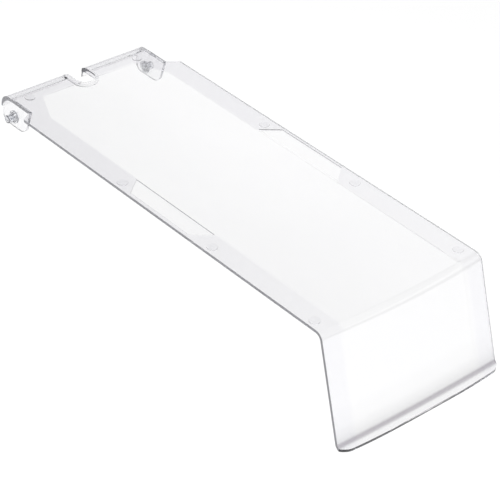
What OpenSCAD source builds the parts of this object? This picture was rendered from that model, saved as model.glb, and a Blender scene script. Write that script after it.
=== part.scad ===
// Clear hinged sneeze guard: a moulded panel, two hinge cheeks, two hollow pivot pins and eight bumper dots.
// The origin is on the pivot axis, midway between the pins. +X is the user's right, -Y is the front, +Z is up.

/* [Panel] */
// Width of the top plate across its side edges
panel_w = 236; // [200:1:320]
// Overall depth, from the lip's front edge to the rear face
depth = 630; // [500:1:800]
// Overall height, from the top surface to the lip's underside
drop_h = 126.5; // [90:0.5:180]
// Wall thickness of the panel
wall_t = 3.5; // [3:0.1:4.5]
// Forward lean of the drop panel, in degrees from vertical
lean = 18.5; // [5:0.5:30]
// How much further out each side of the drop panel stands at the lip than at the bend
flare = 1.5; // [0:0.1:4]
// Outer radius of the front bend
bend_r = 12; // [8:0.5:25]
// How much thinner the centre of the sheet is than its border, taken from the underside
relief_t = 0.5; // [0.2:0.1:1]
// Width of the full-thickness border along each side
border_w = 27; // [20:1:30]

/* [Finger lip] */
// How far the lip stands forward of the drop panel at its middle
lip_len = 13; // [10:0.5:25]
// How far the lip's front edge bows forward between its ends
lip_bow = 4.6; // [1:0.1:6]
// Inner radius of the bend between the drop panel and the lip
lip_bend_r = 5; // [2:0.5:8]
// Corner radius of the lip, seen from above
lip_corner_r = 20; // [12:1:30]

/* [Rear edge] */
// Distance from the pivot axis back to the rear face
rear_overhang = 22; // [22:0.5:30]
// Outer radius of the rolled rear edge
roll_r = 15; // [12:0.5:18]
// Radius of the hollow inside the rolled edge, larger than the roll's, so that the wall is a crescent
hollow_r = 19; // [17:0.5:19.5]
// Wall thickness at the tip of the rolled edge
tip_t = 1.8; // [1.5:0.1:3]
// How far the rolled edge reaches below the roll's centre
tip_drop = 3; // [2:0.5:4]
// How much each side steps in at the hinge end
jog_w = 15; // [10:0.5:16]
// Length along the side of the slanted step
jog_len = 10; // [6:0.5:16]
// Distance from the pivot axis forward to the narrow end's shoulder
jog_y = 34; // [34:0.5:44]

/* [Notch] */
// Radius of the rear notch
notch_r = 13; // [8:0.5:18]
// Distance from the pivot axis forward to the notch's centre
notch_y = 5.5; // [0:0.5:10]
// Thickness of the wall around the notch
notch_wall = 4; // [3:0.5:5]
// Radius of the notch's mouth corners
notch_mouth_r = 6; // [3:0.5:6]
// Depth of the wall around the notch, from the top surface
notch_depth = 7; // [5:0.5:9]

/* [Side recesses] */
// Depth of the two shallow recesses in the top of the side borders
recess_t = 0.8; // [0.4:0.1:1.2]
// Width of the thin rim left outside each recess
recess_rim = 4.4; // [3:0.2:6]
// Length of a recess along its outer side
recess_outer_len = 101; // [60:1:106]
// Length of a recess along its inner side
recess_inner_len = 135; // [108:1:140]

/* [Hinge] */
// Height of the top surface above the pivot axis
pivot_drop = 24.5; // [23:0.5:30]
// Thickness of a hinge cheek
cheek_t = 3.5; // [3:0.1:5]
// How far a cheek reaches below the pivot axis
cheek_below = 11; // [10:0.5:14]
// Radius of a pin's free end
pin_r = 5; // [4:0.1:5.5]
// Length of a pin's free end outside the cheek
pin_len = 8; // [5:0.5:12]
// Radius of the core in a pin
pin_core_r = 3; // [2:0.1:3.2]

/* [Bumpers] */
// Radius of a bumper dot
bumper_r = 6.35; // [4:0.05:7]
// Height of a bumper dot
bumper_h = 2; // [1:0.1:2.4]

/* [Hidden] */
$fn = 96;
far = 1000;
clear_tint = [0.86, 0.88, 0.90, 0.55];
dot_tint = [0.80, 0.82, 0.84, 0.7];

top_z = pivot_drop;
under_z = top_z - wall_t;
bottom_z = top_z - drop_h;
lip_front_y = rear_overhang - depth;
lip_top_z = bottom_z + wall_t;

// Front bend: the plate and the drop panel would meet in a sharp corner at corner_y.
corner_y = lip_front_y + lip_len + (drop_h - wall_t) * tan(lean);
bend_y = corner_y + bend_r * tan((90 - lean) / 2);
bend_z = top_z - bend_r;
// The lip's bend is concave, and its centre lies in front of the drop panel.
lip_bend_z = lip_top_z + lip_bend_r;
lip_bend_y = corner_y - lip_bend_r / cos(lean) - (top_z - lip_bend_z) * tan(lean);
// Unit normal of the drop panel's outer face, in Y and Z.
face_out = [-cos(lean), sin(lean)];

// Rear roll: centres of its outer arc and of the hollow's arc, which come together at the tip.
roll_y = rear_overhang - roll_r;
roll_z = top_z - roll_r;
tip_z = roll_z - tip_drop;
hollow_z = under_z - hollow_r;
hollow_y = rear_overhang - tip_t - sqrt(pow(hollow_r, 2) - pow(tip_z - hollow_z, 2));

half_w = panel_w / 2;
narrow_x = half_w - jog_w;
border_x = half_w - border_w;
// The centre relief stops this far in front of the pivot axis, and its rear corners are cut off.
relief_rear_y = -12.5;
relief_cut_x = 22;
relief_cut_y = 46;
// The relief also stops this high, short of the lip's bend.
relief_foot_z = bottom_z + 16;
// How far the lip's corner arcs run out past its sides.
lip_corner_set = 4;
recess_mid_y = -288;

cheek_x = narrow_x;
cheek_front_y = -jog_y - 1;
cheek_fit_gap = 0.3;
cheek_rear_y = 19;
cheek_nose_r = 16;
cheek_nose_y = cheek_front_y + 21;
cheek_nose_z = -cheek_below + cheek_nose_r;
// Direction, from the nose arc's centre, of the point where the slanted front edge meets it.
cheek_tangent_a = 188;
cheek_heel_r = 10;
cheek_heel_z = -cheek_below + cheek_heel_r;

pin_journal_r = pin_r + 1;
pin_clearance = 0.05;
pin_head_r = pin_journal_r + 2;
pin_head_t = 2;
pin_chamfer = 0.6;

// A bumper's straight side, below which it tapers.
bumper_side_h = bumper_h * 0.6;
bumper_taper = 1.2;

// Draws a profile in the Y-Z plane and gives it the width w along X, centred.
module across(w) {
    rotate([90, 0, 90]) translate([0, 0, -w / 2]) linear_extrude(w) children();
}

// Everything under the sheet's outer face once that face is moved in by d: plate, bend, panel, lip and roll.
module behind(d) {
    share = d / wall_t;
    roll_at = (1 - share) * [roll_y, roll_z] + share * [hollow_y, hollow_z];
    arc_r = (1 - share) * roll_r + share * hollow_r;
    bend_at = [bend_y, bend_z];
    lip_at = [lip_bend_y, lip_bend_z];
    nose_y = lip_front_y + wall_t / 2;
    difference() {
        union() {
            polygon([
                [bend_y, top_z - d],
                roll_at + [0, arc_r],
                roll_at + [arc_r, 0],
                [roll_at[0] + arc_r, -far],
                [nose_y, -far],
                [nose_y, lip_top_z - d],
                lip_at - [0, lip_bend_r + d],
                lip_at,
                lip_at - (lip_bend_r + d) * face_out,
                bend_at + (bend_r - d) * face_out
            ]);
            translate(bend_at) circle(bend_r - d);
            translate(roll_at) circle(arc_r);
        }
        translate(lip_at) circle(lip_bend_r + d);
    }
}

module guard_profile() {
    difference() {
        behind(0);
        behind(wall_t);
        translate([bend_y, -2 * far]) square([far, 2 * far + tip_z]);
    }
    translate([lip_front_y + wall_t / 2, bottom_z + wall_t / 2]) circle(wall_t / 2);
}

// The centre relief: a layer off the inside of the sheet, open at the back of the plate and above the lip.
module relief_profile() {
    difference() {
        behind(wall_t - relief_t);
        behind(wall_t + 1);
        translate([-far, -2 * far]) square([2 * far, 2 * far + relief_foot_z]);
        translate([relief_rear_y, -far]) square(2 * far);
    }
}

// Outline seen from above: stepped in at the hinge end, flared down the drop panel, round and bowed at the lip.
module plan_outline() {
    bow_r = (half_w * half_w + lip_bow * lip_bow) / (2 * lip_bow);
    lip_side_y = corner_y - (drop_h - wall_t) * tan(lean);
    flare_x = half_w + flare;
    corner_x = flare_x - lip_corner_r + lip_corner_set;
    corner_y0 = lip_front_y + lip_corner_r + lip_bow * pow(corner_x / half_w, 2);
    // The sides run straight forward from the flare's end to where the corner arcs meet them.
    arc_meets_y = corner_y0 - sqrt(pow(lip_corner_r, 2) - pow(flare_x - corner_x, 2));
    side_end_y = min(arc_meets_y, lip_side_y - 1);
    polygon([
        [-flare_x, side_end_y], [flare_x, side_end_y], [flare_x, lip_side_y],
        [half_w, corner_y], [half_w, -jog_y - jog_len], [narrow_x, -jog_y],
        [narrow_x, rear_overhang + 1], [-narrow_x, rear_overhang + 1],
        [-narrow_x, -jog_y], [-half_w, -jog_y - jog_len], [-half_w, corner_y], [-flare_x, lip_side_y]
    ]);
    intersection() {
        translate([0, lip_front_y + bow_r]) circle(bow_r, $fn = 1440);
        translate([-corner_x, lip_front_y - 1]) square([2 * corner_x, lip_corner_r + lip_bow]);
    }
    intersection() {
        for (side = [-1, 1]) translate([side * corner_x, corner_y0]) circle(lip_corner_r);
        translate([-flare_x, lip_front_y]) square([2 * flare_x, lip_side_y - lip_front_y]);
    }
}

module notch_outline(grow) {
    translate([0, -notch_y]) circle(notch_r + grow);
    translate([-notch_r - grow, -notch_y])
        square([2 * (notch_r + grow), notch_y + rear_overhang + 1 - grow]);
}

module notch_mouth_corner() {
    translate([notch_r, rear_overhang - notch_mouth_r]) difference() {
        translate([-1, 0]) square([notch_mouth_r + 1, notch_mouth_r + 1]);
        translate([notch_mouth_r, 0]) circle(notch_mouth_r);
    }
}

module relief_outline() {
    polygon([
        [-border_x, -far], [border_x, -far],
        [border_x, relief_rear_y - relief_cut_y], [border_x - relief_cut_x, relief_rear_y],
        [relief_cut_x - border_x, relief_rear_y], [-border_x, relief_rear_y - relief_cut_y]
    ]);
}

// Shallow recess in the top of the right side border.
module side_recess() {
    outer_x = half_w - recess_rim;
    translate([0, recess_mid_y, top_z - recess_t]) linear_extrude(recess_t + 1)
        polygon([
            [outer_x, -recess_outer_len / 2], [outer_x, recess_outer_len / 2],
            [border_x, recess_inner_len / 2], [border_x, -recess_inner_len / 2]
        ]);
}

module guard_panel() {
    color(clear_tint) difference() {
        union() {
            intersection() {
                across(panel_w + 2 * flare) guard_profile();
                translate([0, 0, bottom_z - 1]) linear_extrude(drop_h + 2) plan_outline();
            }
            intersection() {
                across(2 * narrow_x) behind(wall_t / 2);
                translate([0, 0, top_z - notch_depth]) linear_extrude(notch_depth)
                    notch_outline(notch_wall);
            }
        }
        translate([0, 0, tip_z - 1]) linear_extrude(top_z - tip_z + 2) {
            notch_outline(0);
            notch_mouth_corner();
            mirror([1, 0]) notch_mouth_corner();
        }
        intersection() {
            across(2 * border_x) relief_profile();
            translate([0, 0, bottom_z]) linear_extrude(drop_h) relief_outline();
        }
        side_recess();
        mirror([1, 0, 0]) side_recess();
    }
}

// Side outline of a cheek, in Y-Z: slanted front, round nose and heel, and a rear top that follows the hollow.
module cheek_outline() {
    intersection() {
        union() {
            translate([cheek_nose_y, cheek_nose_z]) circle(cheek_nose_r);
            translate([cheek_rear_y - cheek_heel_r, cheek_heel_z]) circle(cheek_heel_r);
            polygon([
                [cheek_front_y, under_z],
                [cheek_nose_y, cheek_nose_z] + cheek_nose_r * [cos(cheek_tangent_a), sin(cheek_tangent_a)],
                [cheek_nose_y, -cheek_below],
                [cheek_rear_y - cheek_heel_r, -cheek_below],
                [cheek_rear_y, cheek_heel_z],
                [cheek_rear_y, under_z]
            ]);
        }
        union() {
            translate([hollow_y, hollow_z]) circle(hollow_r - cheek_fit_gap);
            translate([hollow_y - far, -far]) square([far, 2 * far]);
        }
    }
}

// Right cheek, its outer face flush with the panel's narrow end.
module cheek() {
    color(clear_tint) difference() {
        translate([cheek_x - cheek_t / 2, 0, 0]) across(cheek_t) cheek_outline();
        translate([cheek_x - cheek_t - 1, 0, 0]) rotate([0, 90, 0])
            cylinder(h = cheek_t + 2, r = pin_journal_r + pin_clearance);
    }
}

// Right pin: head inside the cheek, journal in its bore, and the cored free end outside.
module pivot_pin() {
    head_x = cheek_x - cheek_t - cheek_fit_gap;
    free_x = cheek_x + pin_len;
    color(dot_tint) rotate([0, 90, 0]) difference() {
        union() {
            translate([0, 0, head_x - pin_head_t]) cylinder(h = pin_head_t, r = pin_head_r);
            translate([0, 0, head_x - pin_head_t]) cylinder(h = cheek_x - head_x + pin_head_t, r = pin_journal_r);
            translate([0, 0, head_x]) cylinder(h = free_x - pin_chamfer - head_x, r = pin_r);
            translate([0, 0, free_x - pin_chamfer])
                cylinder(h = pin_chamfer, r1 = pin_r, r2 = pin_r - pin_chamfer);
        }
        translate([0, 0, head_x]) cylinder(h = free_x - head_x + 1, r = pin_core_r);
    }
}

module bumper(x, y) {
    color(dot_tint) translate([x, y, under_z]) mirror([0, 0, 1]) {
        cylinder(h = bumper_side_h, r = bumper_r);
        translate([0, 0, bumper_side_h])
            cylinder(h = bumper_h - bumper_side_h, r1 = bumper_r, r2 = bumper_r - bumper_taper);
    }
}

// Bumper places on the right side, from the front: three on the side border and one by the rear corner.
side_bumper_x = half_w - 12;
rear_bumper_x = half_w - 37;
front_bumper_y = -531;
middle_bumper_y = -369;
side_bumper_y = -214;
rear_bumper_y = -5;

module left_hinge_cheek() { mirror([1, 0, 0]) cheek(); }
module right_hinge_cheek() { cheek(); }
module left_pivot_pin() { mirror([1, 0, 0]) pivot_pin(); }
module right_pivot_pin() { pivot_pin(); }
module left_front_bumper() { bumper(-side_bumper_x, front_bumper_y); }
module left_middle_bumper() { bumper(-side_bumper_x, middle_bumper_y); }
module left_side_bumper() { bumper(-side_bumper_x, side_bumper_y); }
module left_rear_bumper() { bumper(-rear_bumper_x, rear_bumper_y); }
module right_front_bumper() { bumper(side_bumper_x, front_bumper_y); }
module right_middle_bumper() { bumper(side_bumper_x, middle_bumper_y); }
module right_side_bumper() { bumper(side_bumper_x, side_bumper_y); }
module right_rear_bumper() { bumper(rear_bumper_x, rear_bumper_y); }

guard_panel();
left_hinge_cheek();
right_hinge_cheek();
left_pivot_pin();
right_pivot_pin();
left_front_bumper();
left_middle_bumper();
left_side_bumper();
left_rear_bumper();
right_front_bumper();
right_middle_bumper();
right_side_bumper();
right_rear_bumper();
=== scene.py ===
import math

import bmesh
import bpy
from mathutils import Matrix, Vector

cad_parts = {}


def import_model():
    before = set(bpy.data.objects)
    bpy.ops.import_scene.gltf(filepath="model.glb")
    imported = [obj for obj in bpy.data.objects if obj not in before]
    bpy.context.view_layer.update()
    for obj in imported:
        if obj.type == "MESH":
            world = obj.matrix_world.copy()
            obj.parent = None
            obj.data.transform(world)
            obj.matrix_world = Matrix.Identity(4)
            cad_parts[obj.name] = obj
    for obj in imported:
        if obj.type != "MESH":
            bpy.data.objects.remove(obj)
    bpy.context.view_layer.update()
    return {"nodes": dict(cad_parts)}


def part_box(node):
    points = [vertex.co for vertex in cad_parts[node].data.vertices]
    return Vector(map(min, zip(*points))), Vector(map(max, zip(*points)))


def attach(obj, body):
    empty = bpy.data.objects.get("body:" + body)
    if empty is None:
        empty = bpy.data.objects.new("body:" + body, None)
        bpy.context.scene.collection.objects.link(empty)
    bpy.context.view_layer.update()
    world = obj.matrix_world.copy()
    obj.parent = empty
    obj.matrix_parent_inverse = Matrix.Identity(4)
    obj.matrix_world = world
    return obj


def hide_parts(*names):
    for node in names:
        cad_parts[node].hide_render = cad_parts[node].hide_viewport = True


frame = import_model()

# ---------------------------------------------------------------- measures, from the CAD nodes
PANEL_LOW, PANEL_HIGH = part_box("guard_panel")
TOP_Z = PANEL_HIGH.z
FOOT_Z = PANEL_LOW.z
FRONT_Y = PANEL_LOW.y
HALF_W = 0.118              # side edge of the top plate
BORDER_X = 0.091            # where the full-thickness border ends
SIDE_WALL_X = 0.101         # the side walls lie further out than this
TIP_Z = 0.0065              # the rolled rear edge's tip

# The front: the plate and the leaning drop panel would meet in a sharp corner at CORNER_Y.
LEAN = math.radians(18.5)
CORNER_Y = -0.5538
BEND_R = 0.012              # outside radius of the bend between them
BEND_BOW = 0.0055           # how far the bend bows forward at its middle
CREASE_BOW = 0.35           # the share of that bow that is left at the foot
BOWED_Y = -0.520            # the bow starts in front of this
STRIP_W = 0.0105            # the bowed part is cut into strips this wide, so that it can curve
STRIPS_EACH_SIDE = 11

# The thinner centre of the plate and drop panel.
RELIEF_DEPTH = 0.003        # from the outer face down to the relief's floor
RELIEF_SLOPE = 0.003        # how wide the step round it is drawn out
RELIEF_REAR_Y = -0.0125     # where it ends, by the pivot axis
RELIEF_CUT = (0.022, 0.046)     # how far its rear corners are cut off, along X and Y
RELIEF_FOOT_Z = FOOT_Z + 0.016  # where it ends above the lip
NOTCH_COLLAR_X = 0.019      # the wall round the rear notch lies closer in than this

# The two shallow recesses in the side borders.
RECESS_Y = -0.288           # their middle
RECESS_OUT = 0.1136         # their outer side
RECESS_SLANT = 0.75         # how far each end slants back, per metre of width

SNAP = 0.0002               # a vertex this close to a plane lies on it
PLASTIC_IOR = 1.58


# ---------------------------------------------------------------- node helpers
def new_material(name):
    mat = bpy.data.materials.new(name)
    mat.use_nodes = True
    tree = mat.node_tree
    tree.nodes.clear()
    out = tree.nodes.new("ShaderNodeOutputMaterial")
    shader = tree.nodes.new("ShaderNodeBsdfPrincipled")
    tree.links.new(shader.outputs["BSDF"], out.inputs["Surface"])
    return mat, tree, shader


def add(tree, kind, **settings):
    node = tree.nodes.new(kind)
    for key, value in settings.items():
        if key in node.inputs:
            node.inputs[key].default_value = value
        else:
            setattr(node, key, value)
    return node


def math_node(tree, operation, a, b=None, clamp=False):
    node = tree.nodes.new("ShaderNodeMath")
    node.operation = operation
    node.use_clamp = clamp
    for socket, value in zip(node.inputs, (a, b)):
        if value is None:
            continue
        if isinstance(value, (int, float)):
            socket.default_value = value
        else:
            tree.links.new(value, socket)
    return node.outputs[0]


def ramp(tree, value, low, high):
    """0 where value is low or less, 1 where it is high or more, smooth between."""
    node = tree.nodes.new("ShaderNodeMapRange")
    node.interpolation_type = "SMOOTHSTEP"
    node.inputs["From Min"].default_value = low
    node.inputs["From Max"].default_value = high
    tree.links.new(value, node.inputs["Value"])
    return node.outputs["Result"]


def mix_colour(tree, factor, a, b, blend="MIX"):
    node = tree.nodes.new("ShaderNodeMix")
    node.data_type = "RGBA"
    node.blend_type = blend
    for name, value in (("Factor", factor), ("A", a), ("B", b)):
        socket = [s for s in node.inputs if s.name == name and s.enabled][0]
        if isinstance(value, (tuple, float, int)):
            socket.default_value = value
        else:
            tree.links.new(value, socket)
    return [s for s in node.outputs if s.enabled][0]


def place(tree):
    """The point on the piece, in metres, in the row frame at rest."""
    return tree.nodes.new("ShaderNodeTexCoord").outputs["Object"]


def xyz(tree, vector):
    split = tree.nodes.new("ShaderNodeSeparateXYZ")
    tree.links.new(vector, split.inputs[0])
    return split.outputs


def finish_surface(tree, shader, where, rough, rough_spread, wave_scale, wave_height):
    """Clear moulded plastic: slightly uneven gloss and a faint ripple in the surface."""
    shader.inputs["Transmission Weight"].default_value = 1.0
    shader.inputs["IOR"].default_value = PLASTIC_IOR
    body = add(tree, "ShaderNodeVolumeAbsorption", Color=(0.55, 0.55, 0.60, 1), Density=9.0)
    tree.links.new(body.outputs[0], tree.nodes["Material Output"].inputs["Volume"])
    noise = add(tree, "ShaderNodeTexNoise", Scale=wave_scale, Detail=3.0, Roughness=0.5)
    tree.links.new(where, noise.inputs["Vector"])
    spread = math_node(tree, "MULTIPLY", noise.outputs["Fac"], rough_spread)
    tree.links.new(math_node(tree, "ADD", spread, rough), shader.inputs["Roughness"])
    bump = add(tree, "ShaderNodeBump", Strength=1.0, Distance=wave_height)
    tree.links.new(noise.outputs["Fac"], bump.inputs["Height"])
    tree.links.new(bump.outputs["Normal"], shader.inputs["Normal"])


def stops(tree, value, low, high, pairs):
    """A smooth curve through (position, brightness) pairs, with positions in value's own units."""
    node = tree.nodes.new("ShaderNodeValToRGB")
    band = node.color_ramp
    band.interpolation = "EASE"
    for _ in pairs[2:]:
        band.elements.new(0.5)
    for element, (at, level) in zip(band.elements, sorted(pairs)):
        element.position = (at - low) / (high - low)
        element.color = (level, level, level, 1)
    spread = math_node(tree, "DIVIDE", math_node(tree, "SUBTRACT", value, low), high - low, clamp=True)
    tree.links.new(spread, node.inputs["Fac"])
    return node.outputs["Color"]


def panel_material():
    mat, tree, shader = new_material("clear_panel_plastic")
    where = place(tree)
    x, y, z = xyz(tree, where)
    side = math_node(tree, "ABSOLUTE", x)
    on_plate = ramp(tree, z, 0.012, 0.020)

    # The full-thickness border along the sides and the rear is greyer than the thinner centre.
    border = ramp(tree, side, BORDER_X - 0.0035, BORDER_X + 0.0005)
    rear = ramp(tree, y, -0.017, -0.009)
    slope = RELIEF_CUT[0] / RELIEF_CUT[1]
    slant = math_node(tree, "ADD", side, math_node(tree, "MULTIPLY", y, slope))
    slant_at = BORDER_X - RELIEF_CUT[0] + RELIEF_REAR_Y * slope
    rear_cut = ramp(tree, slant, slant_at - 0.003, slant_at + 0.001)
    edge = math_node(tree, "MAXIMUM", border, math_node(tree, "MAXIMUM", rear, rear_cut))
    # The two shallow recesses in the side borders look clear again.
    reach = math_node(tree, "MULTIPLY", math_node(tree, "SUBTRACT", RECESS_OUT, side), RECESS_SLANT)
    along = math_node(tree, "ABSOLUTE", math_node(tree, "SUBTRACT", y, RECESS_Y))
    recess = ramp(tree, math_node(tree, "SUBTRACT", along, reach), 0.0520, 0.0495)
    inside = ramp(tree, side, RECESS_OUT + 0.0005, RECESS_OUT - 0.0005)
    recess = math_node(tree, "MULTIPLY", recess, inside)
    edge = math_node(tree, "MULTIPLY", edge, math_node(tree, "SUBTRACT", 1.0, recess))
    # The border is greyest at the hinge end and fades towards the bend: painted shade, for how the light
    # falls along it.
    painted_shade_fade = math_node(tree, "MULTIPLY", ramp(tree, y, -0.52, -0.16), 0.45)
    edge = math_node(tree, "MULTIPLY", edge, math_node(tree, "ADD", painted_shade_fade, 0.55))
    edge = math_node(tree, "MULTIPLY", edge, on_plate)
    forward = ramp(tree, y, -0.20, -0.52)
    centre = mix_colour(tree, forward, (0.980, 0.980, 0.984, 1), (0.945, 0.945, 0.950, 1))
    tint_and_painted_shade = mix_colour(tree, edge, centre, (0.872, 0.868, 0.890, 1))

    # Faint bands run down the sides of the drop panel too.
    off_plate = math_node(tree, "SUBTRACT", 1.0, on_plate)
    low_band = math_node(tree, "MULTIPLY", ramp(tree, side, 0.090, 0.098), off_plate)
    low_band = math_node(tree, "MULTIPLY", low_band, 0.7)
    tint_and_painted_shade = mix_colour(tree, low_band, tint_and_painted_shade, (0.900, 0.900, 0.925, 1))

    # Painted shade: the foot of the drop panel is painted darker down to the crease, with a painted dark
    # line along the crease, for the floor's contact shadow seen through it; the lip in front of it is
    # clear.
    outward = math_node(tree, "POWER", math_node(tree, "DIVIDE", side, HALF_W), 2.0)
    bowed = math_node(tree, "SUBTRACT", 1.0, outward)
    true_y = math_node(tree, "ADD", y, math_node(tree, "MULTIPLY", bowed, CREASE_BOW * BEND_BOW))
    dark = stops(tree, z, -0.102, -0.052, [
        (-0.102, 0.76), (-0.0966, 0.76), (-0.0935, 0.81), (-0.0880, 0.885), (-0.0840, 0.920),
        (-0.0780, 0.96), (-0.0700, 0.975), (-0.0540, 1.0)])
    from_crease = math_node(tree, "ABSOLUTE", math_node(tree, "ADD", true_y, 0.5935))
    # The dark line along the crease is a painted contact shadow.
    crease = ramp(tree, from_crease, 0.0035, 0.0)
    crease = math_node(tree, "MULTIPLY", crease, ramp(tree, z, -0.0930, -0.0960))
    dark = mix_colour(tree, crease, dark, (0.47, 0.44, 0.48, 1))
    lip = ramp(tree, true_y, -0.5955, -0.5995)
    dark = mix_colour(tree, lip, dark, (0.985, 0.985, 0.985, 1))
    # The painted foot shadow darkens the plastic's colour here.
    tint_and_painted_shade = mix_colour(tree, 1.0, tint_and_painted_shade, dark, blend="MULTIPLY")

    tree.links.new(tint_and_painted_shade, shader.inputs["Base Color"])
    finish_surface(tree, shader, where, 0.02, 0.03, 9.0, 0.0002)
    return mat


def speckled_tint(tree, shader, where, scale, light, dark):
    noise = add(tree, "ShaderNodeTexNoise", Scale=scale, Detail=2.0)
    tree.links.new(where, noise.inputs["Vector"])
    tree.links.new(mix_colour(tree, noise.outputs["Fac"], light, dark), shader.inputs["Base Color"])


def small_material(name, colour, rough, ior=PLASTIC_IOR):
    """The clear plastic of a small piece, very slightly uneven in colour."""
    mat, tree, shader = new_material(name)
    where = place(tree)
    shade = tuple(c * 0.96 for c in colour)
    speckled_tint(tree, shader, where, 120.0, colour + (1,), shade + (1,))
    finish_surface(tree, shader, where, rough, 0.04, 60.0, 0.00004)
    shader.inputs["IOR"].default_value = ior
    return mat


def dull_painted_shade_material(name, light, dark, clearness):
    """Edges and cut walls: duller than the faces, and painted darker as shade, for the little light they
    send to the eye.
    """
    mat, tree, shader = new_material(name)
    where = place(tree)
    speckled_tint(tree, shader, where, 90.0, light, dark)
    finish_surface(tree, shader, where, 0.10, 0.06, 60.0, 0.00004)
    shader.inputs["Transmission Weight"].default_value = clearness
    return mat


PANEL = panel_material()
# Painted shade: the rounded edges and cut walls are painted dark grey.
EDGE = dull_painted_shade_material("rounded_edge_painted_shade", (0.26, 0.26, 0.29, 1), (0.20, 0.20, 0.23, 1), 0.45)
WALL = dull_painted_shade_material("cut_wall_painted_shade", (0.52, 0.52, 0.55, 1), (0.44, 0.44, 0.47, 1), 0.45)
CHEEK = small_material("clear_cheek_plastic", (0.96, 0.96, 0.97), 0.02)
PIN = small_material("clear_pin_plastic", (0.90, 0.91, 0.93), 0.03)
DOT = small_material("clear_bumper_dot", (0.985, 0.985, 0.99), 0.02, ior=1.12)


# ---------------------------------------------------------------- geometry
def clean_bmesh(node):
    """A CAD node's mesh as a bmesh with its flat faces merged."""
    bm = bmesh.new()
    bm.from_mesh(frame["nodes"][node].data)
    bmesh.ops.remove_doubles(bm, verts=bm.verts, dist=2e-6)
    bmesh.ops.dissolve_limit(
        bm, angle_limit=math.radians(0.1), verts=bm.verts, edges=bm.edges,
        use_dissolve_boundaries=False)
    return bm


def round_edges(bm, width, wanted, segments=2, least_angle=40, dull=True):
    """Rounds the sharp edges for which wanted(edge) is true; dull gives the rounding the edge material,
    which is painted darker as shade.
    """
    limit = math.radians(least_angle)
    edges = [e for e in bm.edges
             if len(e.link_faces) == 2 and e.calc_face_angle(0) > limit and wanted(e)]
    made = bmesh.ops.bevel(bm, geom=edges, offset=width, offset_type="OFFSET", segments=segments,
                           profile=0.5, affect="EDGES", clamp_overlap=True)
    for face in made["faces"]:
        face.material_index = 1 if dull else 0


def show(bm, name, material, slot, body, *replaced, sharp=32):
    """Makes a piece from a bmesh, smooth but for its sharp edges, riding on body in place of CAD nodes."""
    bmesh.ops.recalc_face_normals(bm, faces=bm.faces)
    limit = math.radians(sharp)
    for face in bm.faces:
        face.smooth = True
    for edge in bm.edges:
        edge.smooth = len(edge.link_faces) == 2 and edge.calc_face_angle(0) < limit
    mesh = bpy.data.meshes.new(name)
    mesh.materials.append(material)
    for extra in (EDGE, WALL)[:max(face.material_index for face in bm.faces)]:
        mesh.materials.append(extra)
    bm.to_mesh(mesh)
    bm.free()
    obj = bpy.data.objects.new(name, mesh)
    bpy.context.scene.collection.objects.link(obj)
    obj.visible_shadow = False
    obj.visible_diffuse = False
    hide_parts(*replaced)
    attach(obj, body)
    weighted = obj.modifiers.new("weighted", "WEIGHTED_NORMAL")
    weighted.keep_sharp = True
    return obj


def bow(co):
    """How far a point of the front moves forward, so that the bend and drop panel are bowed in plan."""
    across = max(0.0, 1 - (co.x / HALF_W) ** 2)
    if co.z > TOP_Z - BEND_R:
        down = min(1.0, max(0.0, (BOWED_Y - co.y) / 0.024))
    else:
        down = 1 - (1 - CREASE_BOW) * min(1.0, (TOP_Z - BEND_R - co.z) / 0.106)
    # The lip's front edge has its own bow in the CAD, so it stays where it is.
    toe = min(1.0, max(0.0, (co.y - FRONT_Y) / 0.011)) if co.z < FOOT_Z + 0.006 else 1.0
    return BEND_BOW * across * down * toe


def outside_depth(co):
    """How deep a point lies under the outer face of the plate, the front bend or the drop panel."""
    bend = Vector((0, CORNER_Y + BEND_R * math.tan((math.pi / 2 - LEAN) / 2), TOP_Z - BEND_R))
    if co.y > bend.y:
        return TOP_Z - co.z
    if co.z > bend.z - 0.004:
        return BEND_R - math.hypot(co.y - bend.y, co.z - bend.z)
    return (co.y - CORNER_Y) * math.cos(LEAN) + (TOP_Z - co.z) * math.sin(LEAN)


def soften_relief(bm):
    """Turns the step round the thinner centre into a gentle slope, by drawing in the relief's floor."""
    walls = [f for f in bm.faces
             if len(f.verts) > 4 and all(abs(abs(v.co.x) - BORDER_X) < SNAP for v in f.verts)]
    bmesh.ops.triangulate(bm, faces=walls, ngon_method="BEAUTY")
    foot_slope = 0.004
    for v in bm.verts:
        in_centre = abs(v.co.x) <= BORDER_X + SNAP
        if not in_centre or abs(outside_depth(v.co) - RELIEF_DEPTH) > 0.00012:
            continue
        if v.co.z < RELIEF_FOOT_Z + 0.0015:
            v.co.z += foot_slope * math.cos(LEAN)
            v.co.y += foot_slope * math.sin(LEAN)
        if abs(abs(v.co.x) - BORDER_X) < SNAP:
            v.co.x *= (BORDER_X - RELIEF_SLOPE) / BORDER_X
            if v.co.y > RELIEF_REAR_Y - RELIEF_CUT[1] - 0.001:
                v.co.y -= 0.002
        elif abs(v.co.y - RELIEF_REAR_Y) < SNAP and abs(v.co.x) > NOTCH_COLLAR_X:
            v.co.y -= RELIEF_SLOPE


def bow_front(bm):
    """Cuts the front into strips and bows it forward."""
    bmesh.ops.bisect_plane(bm, geom=bm.verts[:] + bm.edges[:] + bm.faces[:], dist=1e-7,
                           plane_co=(0, BOWED_Y, 0), plane_no=(0, 1, 0))
    for step in range(-STRIPS_EACH_SIDE, STRIPS_EACH_SIDE + 1):
        faces = [f for f in bm.faces if all(v.co.y < BOWED_Y + 0.0001 for v in f.verts)]
        edges = {e for f in faces for e in f.edges}
        verts = {v for f in faces for v in f.verts}
        bmesh.ops.bisect_plane(bm, geom=faces + list(edges) + list(verts), dist=1e-7,
                               plane_co=(step * STRIP_W, 0, 0), plane_no=(1, 0, 0))
    for v in bm.verts:
        if v.co.y < BOWED_Y + 0.001:
            v.co.y -= bow(v.co)


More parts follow.
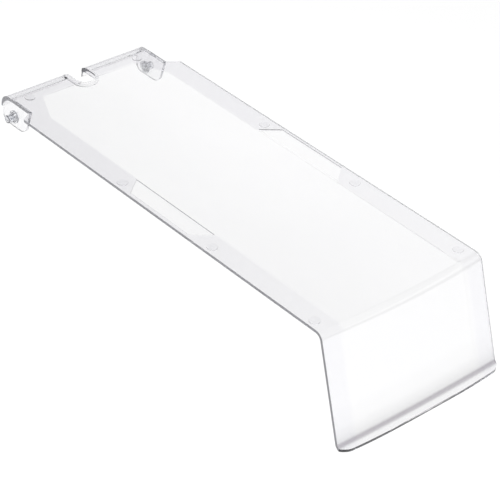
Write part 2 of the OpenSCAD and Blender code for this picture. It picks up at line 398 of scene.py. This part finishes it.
def in_recess(mid):
    """True on the outline of a recess in the side borders, which stays crisp."""
    return (mid.z > TOP_Z - 0.0009 and BORDER_X - 0.0005 < abs(mid.x) < RECESS_OUT + 0.0006
            and abs(mid.y - RECESS_Y) < 0.070)


def on_relief(mid):
    """True on the softened step round the thinner centre: its sides, its rear end or its foot."""
    at_side = abs(abs(mid.x) - BORDER_X) < 0.0004
    at_rear = (NOTCH_COLLAR_X <= abs(mid.x) < BORDER_X + 0.0005 and -0.07 < mid.y < -0.005
               and mid.z < TOP_Z - 0.0028)
    at_foot = abs(mid.z - RELIEF_FOOT_Z) < 0.0012
    return at_side or at_rear or at_foot


def outer(edge):
    mid = (edge.verts[0].co + edge.verts[1].co) / 2
    return not in_recess(mid) and not on_relief(mid)


def roll_tip(edge):
    """True for the long edges of the rear roll's tip."""
    a, b = edge.verts[0].co, edge.verts[1].co
    return abs(a.x - b.x) > 0.01 and all(abs(co.z - TIP_Z) < SNAP and co.y > 0.014 for co in (a, b))


def panel():
    bm = clean_bmesh("guard_panel")
    soften_relief(bm)
    bow_front(bm)
    round_edges(bm, 0.00085, roll_tip, segments=4, dull=False)
    # The side walls take the cut-wall material, painted grey as shade.
    for face in bm.faces:
        if abs(face.normal.x) > 0.9 and abs(face.calc_center_median().x) > SIDE_WALL_X:
            face.material_index = 2
    round_edges(bm, 0.0006, outer)
    return show(bm, "guard_panel_clear", PANEL, "clear_panel", "guard", "guard_panel")


def everywhere(edge):
    return True


def cheek(side):
    node = side + "_hinge_cheek"
    bm = clean_bmesh(node)
    # The top is lowered a hair, so that it and the plate's underside aren't one face.
    for v in bm.verts:
        if v.co.z > 0.0205 and v.co.y < 0.006:
            v.co.z -= 0.00015
    round_edges(bm, 0.0004, everywhere)
    return show(bm, node + "_clear", CHEEK, "clear_cheek", "guard", node)


def pin(side):
    node = side + "_pivot_pin"
    bm = clean_bmesh(node)
    round_edges(bm, 0.0003, everywhere)
    return show(bm, node + "_clear", PIN, "clear_pin", "pins", node)


def dot(node):
    """A low clear dome with a rounded rim, hung a hair below the plate."""
    low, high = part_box(node)
    centre = (low + high) / 2
    radius, height = (high.x - low.x) / 2, high.z - low.z
    gap = 0.00005
    turns = 48
    # Shares of the radius and of the height, from the plate down.
    profile = [(0.0, 0.0), (0.86, 0.0), (0.965, 0.08), (1.0, 0.25), (0.985, 0.45),
               (0.90, 0.72), (0.72, 0.88), (0.40, 0.975), (0.0, 1.0)]
    bm = bmesh.new()
    rings = []
    for out, down in profile:
        r = radius * out
        z = high.z - gap - down * (height - gap)
        if r == 0.0:
            rings.append([bm.verts.new((centre.x, centre.y, z))])
        else:
            rings.append([bm.verts.new((centre.x + r * math.cos(2 * math.pi * k / turns),
                                        centre.y + r * math.sin(2 * math.pi * k / turns), z))
                          for k in range(turns)])
    for upper, lower in zip(rings, rings[1:]):
        for k in range(turns):
            j = (k + 1) % turns
            loop = []
            for ring, order in ((upper, (k, j)), (lower, (j, k))):
                for i in order:
                    v = ring[i % len(ring)]
                    if v not in loop:
                        loop.append(v)
            bm.faces.new(loop)
    return show(bm, node + "_dome", DOT, "clear_bumper", "guard", node, sharp=50)


panel()
for side in ("left", "right"):
    cheek(side)
    pin(side)
for name in sorted(frame["nodes"]):
    if name.endswith("_bumper"):
        dot(name)


# ---------------------------------------------------------------- floor, light, camera
def floor():
    mesh = bpy.data.meshes.new("floor")
    bm = bmesh.new()
    bmesh.ops.create_grid(bm, x_segments=1, y_segments=1, size=12.0)
    bm.to_mesh(mesh)
    bm.free()
    obj = bpy.data.objects.new("floor", mesh)
    obj.location = (0, 0, FOOT_Z - 0.0005)
    bpy.context.scene.collection.objects.link(obj)
    mat, tree, shader = new_material("floor_pale")
    shader.inputs["Base Color"].default_value = (0.93, 0.93, 0.93, 1)
    shader.inputs["Roughness"].default_value = 1.0
    shader.inputs["Specular IOR Level"].default_value = 0.0
    mesh.materials.append(mat)
    return obj


def area_light(name, at, target, size, power):
    data = bpy.data.lights.new(name, "AREA")
    data.shape = "RECTANGLE"
    data.size, data.size_y = size
    data.energy = power
    obj = bpy.data.objects.new(name, data)
    bpy.context.scene.collection.objects.link(obj)
    obj.location = at
    obj.rotation_euler = (Vector(target) - Vector(at)).to_track_quat("-Z", "Y").to_euler()
    return obj


def world():
    """Soft grey studio, darker at the horizon, with a bright wall; the camera sees plain pale grey."""
    w = bpy.data.worlds.new("studio")
    w.use_nodes = True
    tree = w.node_tree
    back = tree.nodes["Background"]
    x, _, z = xyz(tree, tree.nodes.new("ShaderNodeTexCoord").outputs["Generated"])
    height = stops(tree, z, 0.0, 1.0, [
        (0.0, 0.14), (0.30, 0.16), (0.42, 0.42), (0.60, 0.46), (1.0, 0.40)])
    slope = math_node(tree, "DIVIDE", z, math_node(tree, "MAXIMUM", x, 0.05))
    wall = math_node(tree, "MULTIPLY", ramp(tree, slope, 1.06, 0.88), ramp(tree, z, 0.36, 0.46))
    glow = mix_colour(tree, wall, height, (0.90, 0.90, 0.90, 1))
    path = tree.nodes.new("ShaderNodeLightPath")
    seen = mix_colour(tree, path.outputs["Is Camera Ray"], glow, (0.93, 0.93, 0.935, 1))
    tree.links.new(seen, back.inputs["Color"])
    bpy.context.scene.world = w


def camera():
    data = bpy.data.cameras.new("camera")
    data.sensor_width = 36.0
    data.lens = 142.78
    data.clip_end = 100.0
    obj = bpy.data.objects.new("camera", data)
    bpy.context.scene.collection.objects.link(obj)
    right = Vector((0.75111, -0.65750, 0.05941))
    up = Vector((0.34196, 0.46447, 0.81697))
    back = -Vector((0.56468, 0.59329, -0.57366))
    turn = Matrix((right, up, back)).transposed().to_4x4()
    obj.matrix_world = Matrix.Translation((-1.2752, -1.6563, 1.2397)) @ turn
    bpy.context.scene.camera = obj


floor()
world()
area_light("overhead_soft", (-1.0, -1.2, 5.0), (0, -0.3, 0), (5.0, 5.0), 263)
camera()
scene = bpy.context.scene
scene.view_settings.view_transform = "Standard"
scene.cycles.max_bounces = 48
scene.cycles.glossy_bounces = 40
scene.cycles.transmission_bounces = 40
